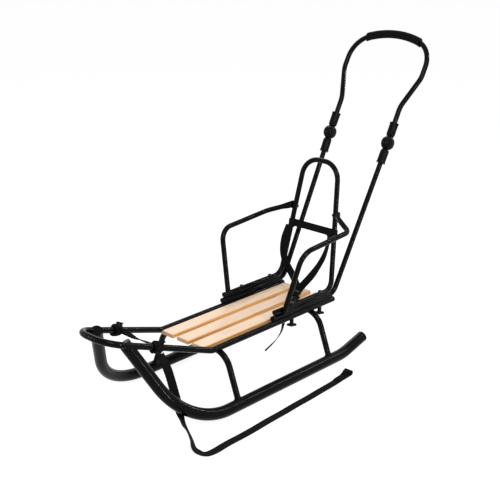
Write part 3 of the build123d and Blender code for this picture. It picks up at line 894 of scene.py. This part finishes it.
# Seat slats: three planed and varnished boards of pale pine. Their tops are cream and pink, and
# the ends show the growth rings in a brown end grain. The sawn sides are tinted a darker honey
# as painted shade, for the shade that falls between the slats.
def pine(name, board_shift, blush):
    """Varnished pine, cut from its own place in the log and more or less pink."""
    wood = bpy.data.materials.new(name)
    wood.use_nodes = True
    tree = wood.node_tree
    board = tree.nodes["Principled BSDF"]
    board.inputs["IOR"].default_value = 1.45
    board.inputs["Coat Weight"].default_value = 0.15
    board.inputs["Coat Roughness"].default_value = 0.3
    place = add_node(tree, "ShaderNodeTexCoord")
    rings_place = add_node(
        tree, "ShaderNodeMapping",
        {"Vector": place.outputs["Object"], "Location": board_shift, "Scale": (1.1, 17.0, 34.0)},
    )
    ring_noise = add_node(
        tree, "ShaderNodeTexNoise",
        {"Vector": rings_place.outputs[0], "Scale": 1.0, "Detail": 2.5, "Roughness": 0.4},
    )
    ring_turn = add_node(tree, "ShaderNodeMath", {0: ring_noise.outputs[0], 1: 58.0}, operation="MULTIPLY")
    ring_wave = add_node(tree, "ShaderNodeMath", {0: ring_turn.outputs[0]}, operation="SINE")
    ring_line = add_node(
        tree, "ShaderNodeMapRange",
        {"Value": ring_wave.outputs[0], "From Min": -0.2, "From Max": 1.0, "To Min": 0.0, "To Max": 1.0},
        interpolation_type="SMOOTHSTEP",
    )
    fibre_place = add_node(
        tree, "ShaderNodeMapping",
        {"Vector": place.outputs["Object"], "Location": board_shift, "Scale": (22.0, 900.0, 900.0)},
    )
    fibre = add_node(
        tree, "ShaderNodeTexNoise", {"Vector": fibre_place.outputs[0], "Scale": 1.0, "Detail": 3.0}
    )
    drift_place = add_node(
        tree, "ShaderNodeMapping",
        {"Vector": place.outputs["Object"], "Location": board_shift, "Scale": (7.0, 26.0, 26.0)},
    )
    drift = add_node(
        tree, "ShaderNodeTexNoise", {"Vector": drift_place.outputs[0], "Scale": 1.0, "Detail": 2.0}
    )
    early_wood = add_node(
        tree, "ShaderNodeMix",
        {0: drift.outputs[0], 6: (0.86, 0.67, 0.49, 1), 7: (0.76, 0.54 - blush, 0.39 - blush, 1)},
        data_type="RGBA",
    )
    ring_share = add_node(tree, "ShaderNodeMath", {0: ring_line.outputs[0], 1: 0.5}, operation="MULTIPLY")
    ringed = add_node(
        tree, "ShaderNodeMix",
        {0: ring_share.outputs[0], 6: early_wood.outputs[2], 7: (0.74, 0.5, 0.3, 1)},
        data_type="RGBA",
    )
    fibre_share = add_node(
        tree, "ShaderNodeMapRange",
        {"Value": fibre.outputs[0], "From Min": 0.4, "From Max": 0.75, "To Min": 0.0, "To Max": 0.28},
    )
    fibred = add_node(
        tree, "ShaderNodeMix",
        {0: fibre_share.outputs[0], 6: ringed.outputs[2], 7: (0.68, 0.46, 0.28, 1)},
        data_type="RGBA",
    )
    facing = add_node(tree, "ShaderNodeSeparateXYZ", {0: place.outputs["Normal"]})
    side_face = add_node(tree, "ShaderNodeMath", {0: facing.outputs["Y"]}, operation="ABSOLUTE")
    end_face = add_node(tree, "ShaderNodeMath", {0: facing.outputs["X"]}, operation="ABSOLUTE")
    # painted shade: faces turned sideways are picked out here to take a darker honey tint
    side_shade_share = add_node(
        tree, "ShaderNodeMapRange",
        {"Value": side_face.outputs[0], "From Min": 0.4, "From Max": 0.9, "To Min": 0.0, "To Max": 0.97},
    )
    end_share = add_node(
        tree, "ShaderNodeMapRange",
        {"Value": end_face.outputs[0], "From Min": 0.5, "From Max": 1.0, "To Min": 0.0, "To Max": 0.9},
    )
    # painted shade: a darker, oranger honey on the sides than on the tops, for the shade between the slats
    painted_side_shade = add_node(
        tree, "ShaderNodeMix",
        {0: ring_line.outputs[0], 6: (0.74, 0.39, 0.11, 1), 7: (0.54, 0.24, 0.06, 1)},
        data_type="RGBA",
    )
    with_side_shade = add_node(
        tree, "ShaderNodeMix",
        {0: side_shade_share.outputs[0], 6: fibred.outputs[2], 7: painted_side_shade.outputs[2]},
        data_type="RGBA",
    )
    end_place = add_node(
        tree, "ShaderNodeMapping",
        {"Vector": place.outputs["Object"], "Location": board_shift, "Scale": (0.5, 1.0, 1.0)},
    )
    end_rings = add_node(
        tree, "ShaderNodeTexWave",
        {
            "Vector": end_place.outputs[0],
            "Scale": 190.0,
            "Distortion": 3.0,
            "Detail": 2.0,
            "Detail Scale": 0.4,
        },
        wave_type="RINGS",
        rings_direction="X",
    )
    end_grain = add_node(
        tree, "ShaderNodeMix",
        {0: end_rings.outputs["Fac"], 6: (0.6, 0.36, 0.19, 1), 7: (0.4, 0.2, 0.08, 1)},
        data_type="RGBA",
    )
    ended = add_node(
        tree, "ShaderNodeMix",
        {0: end_share.outputs[0], 6: with_side_shade.outputs[2], 7: end_grain.outputs[2]},
        data_type="RGBA",
    )
    tree.links.new(ended.outputs[2], board.inputs["Base Color"])
    rough = add_node(
        tree, "ShaderNodeMapRange",
        {"Value": ring_line.outputs[0], "From Min": 0.0, "From Max": 1.0, "To Min": 0.5, "To Max": 0.36},
    )
    tree.links.new(rough.outputs[0], board.inputs["Roughness"])
    grain_height = add_node(
        tree, "ShaderNodeMath", {0: fibre.outputs[0], 1: ring_line.outputs[0]}, operation="ADD"
    )
    grain_bump = add_node(
        tree, "ShaderNodeBump", {"Height": grain_height.outputs[0], "Strength": 0.25, "Distance": 0.0003}
    )
    tree.links.new(grain_bump.outputs[0], board.inputs["Normal"])
    return wood


slat_table = (
    # board, where it was cut from the log, how pink it is
    ("slat_left", (0.37, 1.9, 0.2), 0.0),
    ("slat_middle", (4.1, 0.53, 3.1), 0.02),
    ("slat_right", (7.7, 5.2, 1.4), 0.01),
)
for slat_name, board_shift, blush in slat_table:
    dress(pine(f"pine_{slat_name}", board_shift, blush), slat_name)


# Foam grip: a sleeve of black closed-cell foam, matt and finely pored. It was pushed over the
# crown of the bow, and grips it by its own stretch.
foam_black = bpy.data.materials.new("foam_black")
foam_black.use_nodes = True
tree = foam_black.node_tree
foam = tree.nodes["Principled BSDF"]
foam.inputs["IOR"].default_value = 1.14
place_on_piece = add_node(tree, "ShaderNodeTexCoord")
cells = add_node(
    tree, "ShaderNodeTexVoronoi", {"Vector": place_on_piece.outputs["Object"], "Scale": 1100.0}
)
swell = add_node(
    tree, "ShaderNodeTexNoise", {"Vector": place_on_piece.outputs["Object"], "Scale": 60.0, "Detail": 4.0}
)
foam_height = add_node(
    tree, "ShaderNodeMath", {0: cells.outputs["Distance"], 1: swell.outputs[0]}, operation="ADD"
)
foam_bump = add_node(
    tree, "ShaderNodeBump", {"Height": foam_height.outputs[0], "Strength": 0.5, "Distance": 0.0004}
)
tree.links.new(foam_bump.outputs[0], foam.inputs["Normal"])
foam_rough = add_node(
    tree,
    "ShaderNodeMapRange",
    {"Value": swell.outputs[0], "From Min": 0.3, "From Max": 0.7, "To Min": 0.72, "To Max": 0.9},
)
tree.links.new(foam_rough.outputs[0], foam.inputs["Roughness"])
foam_colour = add_node(
    tree, "ShaderNodeMix",
    {0: swell.outputs[0], 6: (0.002, 0.002, 0.0022, 1), 7: (0.006, 0.006, 0.0066, 1)},
    data_type="RGBA",
)
tree.links.new(foam_colour.outputs[2], foam.inputs["Base Color"])
dress(foam_black, "handle_grip")


# Knuckles and end plugs: black moulded plastic with a fine spark-eroded skin. Each half of a
# knuckle is faired from its sleeve to its cheek, and a domed cap covers each end of the pin.
def ring_skin(name, rings, material, body, closed_ends=(False, False)):
    """Smooth skin over a row of like rings of points."""
    shape = bmesh.new()
    rows = [[shape.verts.new(place) for place in ring] for ring in rings]
    around = len(rows[0])
    for low_row, high_row in zip(rows, rows[1:]):
        for index in range(around):
            following = (index + 1) % around
            face = shape.faces.new((low_row[index], low_row[following], high_row[following], high_row[index]))
            face.smooth = True
    for row, closed_end in zip((rows[0][::-1], rows[-1]), closed_ends):
        if closed_end:
            shape.faces.new(row)
    bmesh.ops.recalc_face_normals(shape, faces=shape.faces)
    mesh = bpy.data.meshes.new(name)
    shape.to_mesh(mesh)
    shape.free()
    mesh.materials.append(material)
    piece = bpy.data.objects.new(name, mesh)
    bpy.context.scene.collection.objects.link(piece)
    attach(piece, body)
    return piece


handle_lean = 0.4964
handle_up = Vector((math.sin(handle_lean), 0, math.cos(handle_lean)))
# distance from the pin, half width in the folding plane, half width across it, in millimetres
fairing_table = (
    (21.8, 7.0, 8.5),
    (21.8, 10.0, 12.4),
    (24.0, 11.2, 12.9),
    (27.0, 12.7, 13.3),
    (30.0, 13.65, 13.65),
    (33.0, 13.7, 13.7),
    (34.5, 12.6, 12.6),
)
# height over the cheek and radius of the domed cap, in millimetres
cap_table = ((-0.4, 17.5), (0.4, 17.2), (1.6, 15.6), (2.8, 12.6), (3.7, 8.6), (4.3, 4.2), (4.45, 0.4))
hub_half = 13.0
fairing_steps = 40
cap_steps = 48
push_tube_foot = (0.412, 0.103, 0.1843)
for side_name, side in (("left", -1), ("right", 1)):
    pin_low, pin_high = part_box(f"knuckle_pin_{side_name}")
    hub = (pin_low + pin_high) / 2
    tube_foot = Vector((push_tube_foot[0] - model_middle_x, side * push_tube_foot[1], push_tube_foot[2]))
    lower_way = (tube_foot - hub).normalized()
    for half, way, body in (("lower", lower_way, "sled"), ("upper", handle_up, "bow")):
        in_plane = Vector((0, 1, 0)).cross(way).normalized()
        sideways = way.cross(in_plane).normalized()
        rings = []
        for distance, half_in_plane, half_across in fairing_table:
            ring_centre = hub + way * (distance / 1000)
            rings.append(
                [
                    ring_centre
                    + in_plane * (half_in_plane / 1000 * math.cos(angle))
                    + sideways * (half_across / 1000 * math.sin(angle))
                    for angle in (2 * math.pi * step / fairing_steps for step in range(fairing_steps))
                ]
            )
        fairing_name = f"knuckle_fairing_{half}_{side_name}"
        ring_skin(fairing_name, rings, moulded_black, body)
    for end, outward in (("outer", side), ("inner", -side)):
        rings = []
        for height, radius in cap_table:
            ring_centre = hub + Vector((0, outward * (hub_half + height) / 1000, 0))
            rings.append(
                [
                    ring_centre + Vector((math.cos(angle), 0, math.sin(angle))) * (radius / 1000)
                    for angle in (2 * math.pi * step / cap_steps for step in range(cap_steps))
                ]
            )
        cap_name = f"knuckle_cap_{end}_{side_name}"
        ring_skin(cap_name, rings, moulded_black, "sled", (True, True))
    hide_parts(f"knuckle_pin_{side_name}")
for side_name in ("left", "right"):
    dress(
        moulded_black,
        f"knuckle_lower_{side_name}",
        f"knuckle_upper_{side_name}",
        f"runner_plug_{side_name}",
        f"rail_plug_{side_name}",
    )


# Bolts and screws: steel, blackened, with the plating a little brighter in places. The screws
# hold the slats, and the bolts the backrest, the armrests and the push tubes.
black_plated = bpy.data.materials.new("black_plated")
black_plated.use_nodes = True
tree = black_plated.node_tree
steel = tree.nodes["Principled BSDF"]
steel.inputs["Metallic"].default_value = 0.6
place_on_piece = add_node(tree, "ShaderNodeTexCoord")
plating = add_node(
    tree, "ShaderNodeTexNoise", {"Vector": place_on_piece.outputs["Object"], "Scale": 300.0, "Detail": 6.0}
)
plated_colour = add_node(
    tree, "ShaderNodeMix",
    {0: plating.outputs[0], 6: (0.006, 0.006, 0.006, 1), 7: (0.03, 0.029, 0.028, 1)},
    data_type="RGBA",
)
tree.links.new(plated_colour.outputs[2], steel.inputs["Base Color"])
plated_rough = add_node(
    tree,
    "ShaderNodeMapRange",
    {"Value": plating.outputs[0], "From Min": 0.3, "From Max": 0.7, "To Min": 0.3, "To Max": 0.5},
)
tree.links.new(plated_rough.outputs[0], steel.inputs["Roughness"])
plated_bump = add_node(
    tree, "ShaderNodeBump", {"Height": plating.outputs[0], "Strength": 0.2, "Distance": 0.0002}
)
tree.links.new(plated_bump.outputs[0], steel.inputs["Normal"])
dress(black_plated, "slat_screws")
for side_name in ("left", "right"):
    dress(black_plated, f"clamp_bolts_{side_name}", f"armrest_bolts_{side_name}")


# Wing nuts: each is a moulded knob with a round neck over a flat oval grip. It is screwed up hard
# on the end of its clamp bolt under the rail.
bolt_places = (0.218, 0.347)
first_turn = -0.8
next_turn = -0.2
neck_radius = 6.0
knob_steps = 40
knob_table = (
    # height over the knob's foot, half length, half width, in millimetres
    (0.0, 11.0, 5.0),
    (0.5, 14.0, 7.4),
    (1.8, 15.2, 8.6),
    (3.6, 15.3, 8.7),
    (5.2, 14.0, 7.6),
    (6.2, 10.5, 6.6),
    (6.8, 6.6, 6.2),
    (8.0, 6.0, 6.0),
)
for side_name, side in (("left", -1), ("right", 1)):
    nut_low, nut_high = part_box(f"wing_nuts_{side_name}")
    nut_y = (nut_low.y + nut_high.y) / 2
    for number, bolt_x in enumerate(bolt_places):
        foot = Vector((bolt_x - model_middle_x, nut_y, nut_low.z))
        neck_top = (nut_high.z - nut_low.z) * 1000
        turn = first_turn + next_turn * number
        rings = []
        for height, half_length, half_width in (*knob_table, (neck_top, neck_radius, neck_radius)):
            ring = []
            for step in range(knob_steps):
                angle = 2 * math.pi * step / knob_steps
                along = half_length / 1000 * math.cos(angle)
                across = half_width / 1000 * math.sin(angle)
                turned_x = along * math.cos(turn) - across * math.sin(turn)
                turned_y = along * math.sin(turn) + across * math.cos(turn)
                ring.append(foot + Vector((turned_x, turned_y, height / 1000)))
            rings.append(ring)
        knob_name = f"wing_knob_{side_name}_{number + 1}"
        knob = ring_skin(knob_name, rings, moulded_black, "sled", (True, True))
        if number == 0:
            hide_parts(f"wing_nuts_{side_name}")
